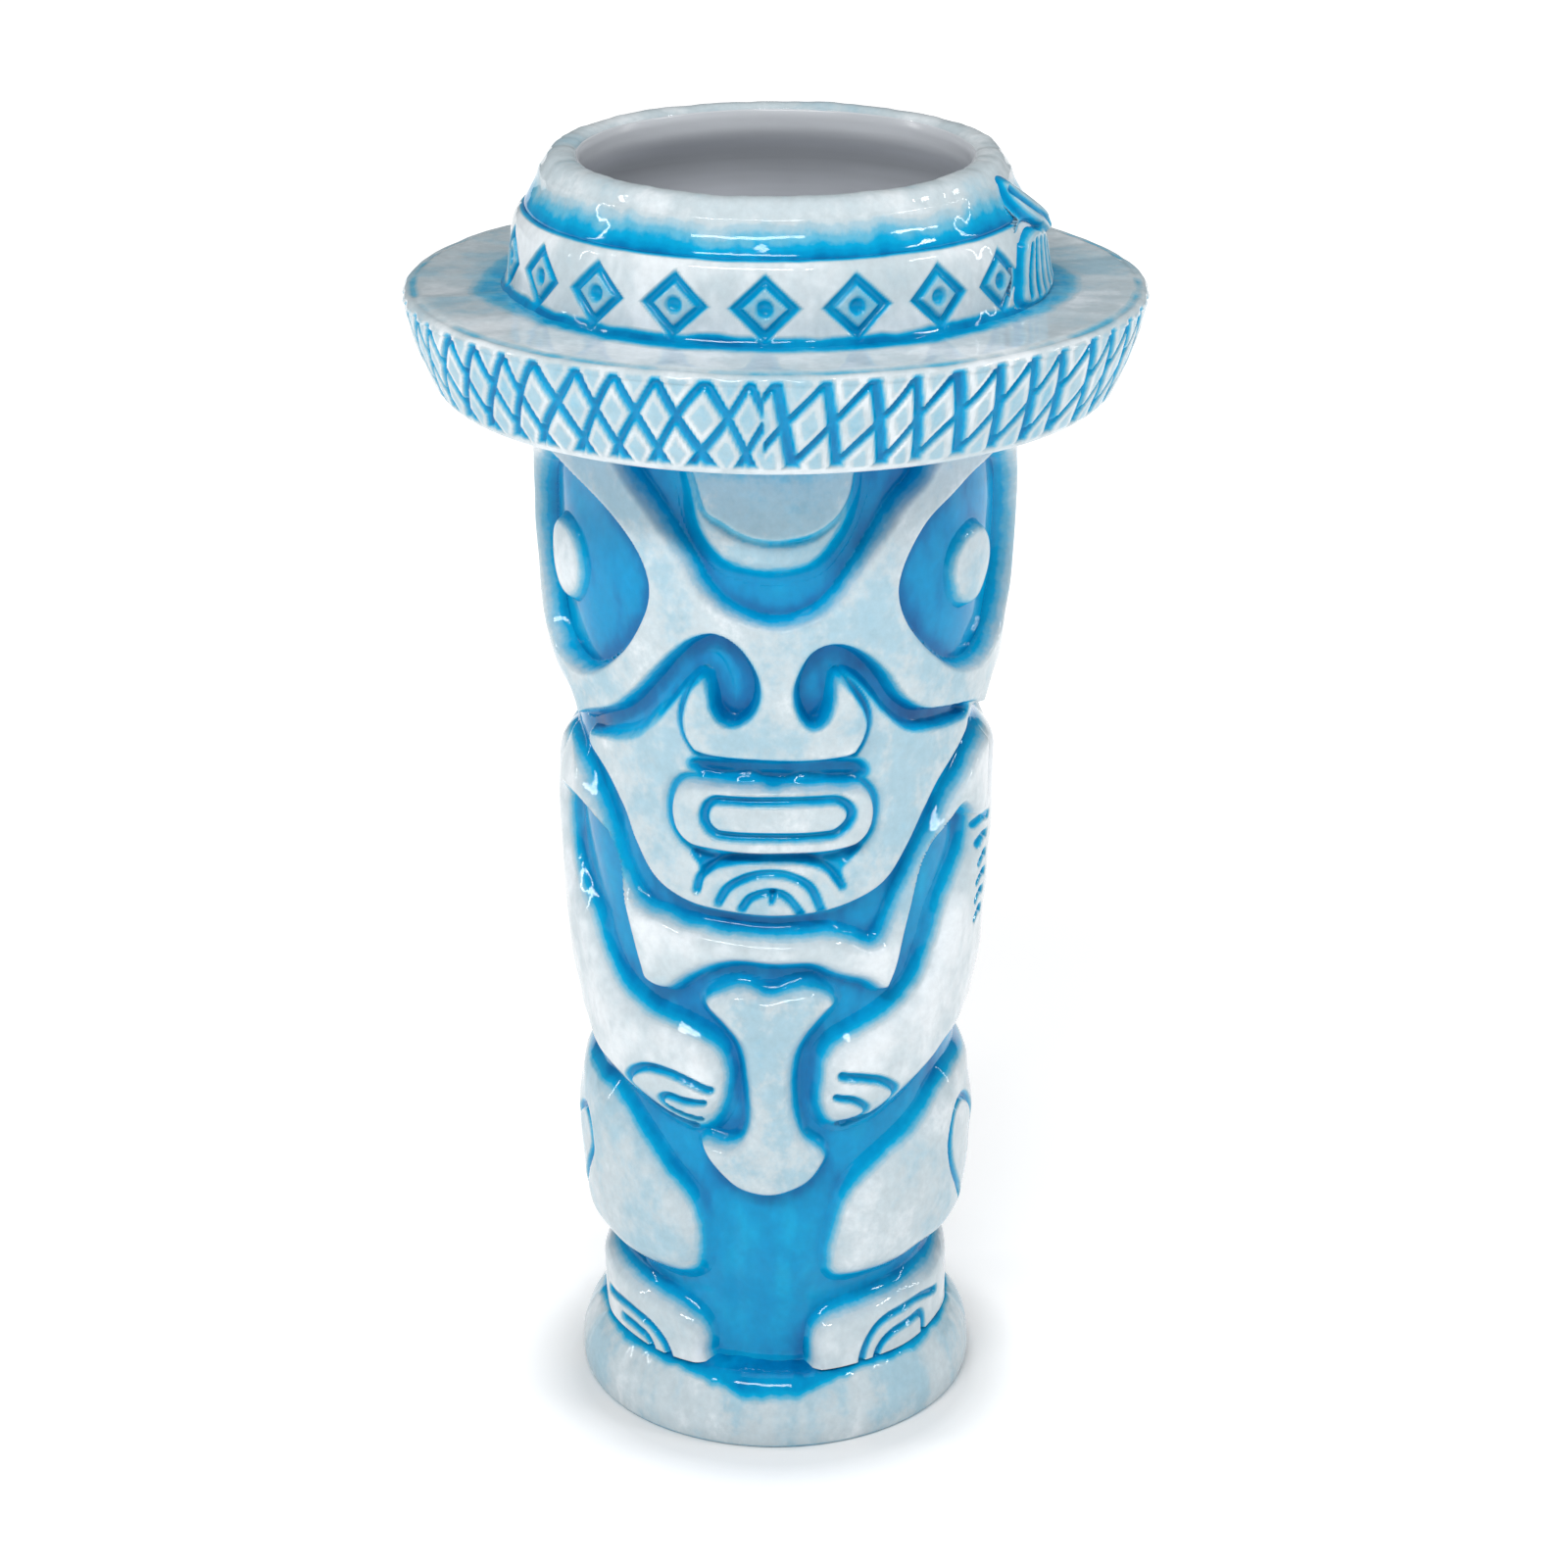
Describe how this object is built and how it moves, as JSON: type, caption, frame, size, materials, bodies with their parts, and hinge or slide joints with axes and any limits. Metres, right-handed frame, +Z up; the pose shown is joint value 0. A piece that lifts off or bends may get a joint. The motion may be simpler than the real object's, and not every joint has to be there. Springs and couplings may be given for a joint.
{
  "type": "tiki mug",
  "caption": "Glazed ceramic drinking mug carved as a squatting figure with its hands on its belly, under a round hat with a wide flat brim.",
  "frame": {"origin": "centre of the base, on the surface that the mug stands on", "axes": "+Z up along the mug's axis, the face looks towards -Y, +X to the viewer's right"},
  "size_m": [0.1042, 0.1042, 0.1905],
  "materials": {
    "blue_glaze": "gloss",
    "pale_glaze": "gloss",
    "hat_glaze": "gloss",
    "liner_glaze": "gloss"
  },
  "bodies": {
    "root": {"cup_wall": "blue_glaze", "liner_glaze": "liner_glaze", "foot_disc": "pale_glaze", "head": "pale_glaze", "forehead": "pale_glaze", "left_eye": "pale_glaze", "right_eye": "pale_glaze", "mouth": "pale_glaze", "chest": "pale_glaze", "belly": "pale_glaze", "left_arm": "pale_glaze", "right_arm": "pale_glaze", "back": "pale_glaze", "left_leg": "pale_glaze", "right_leg": "pale_glaze", "left_foot": "pale_glaze", "right_foot": "pale_glaze", "hat_brim": "hat_glaze", "hat_band": "hat_glaze", "hat_knot": "hat_glaze"}
  },
  "joints": []
}
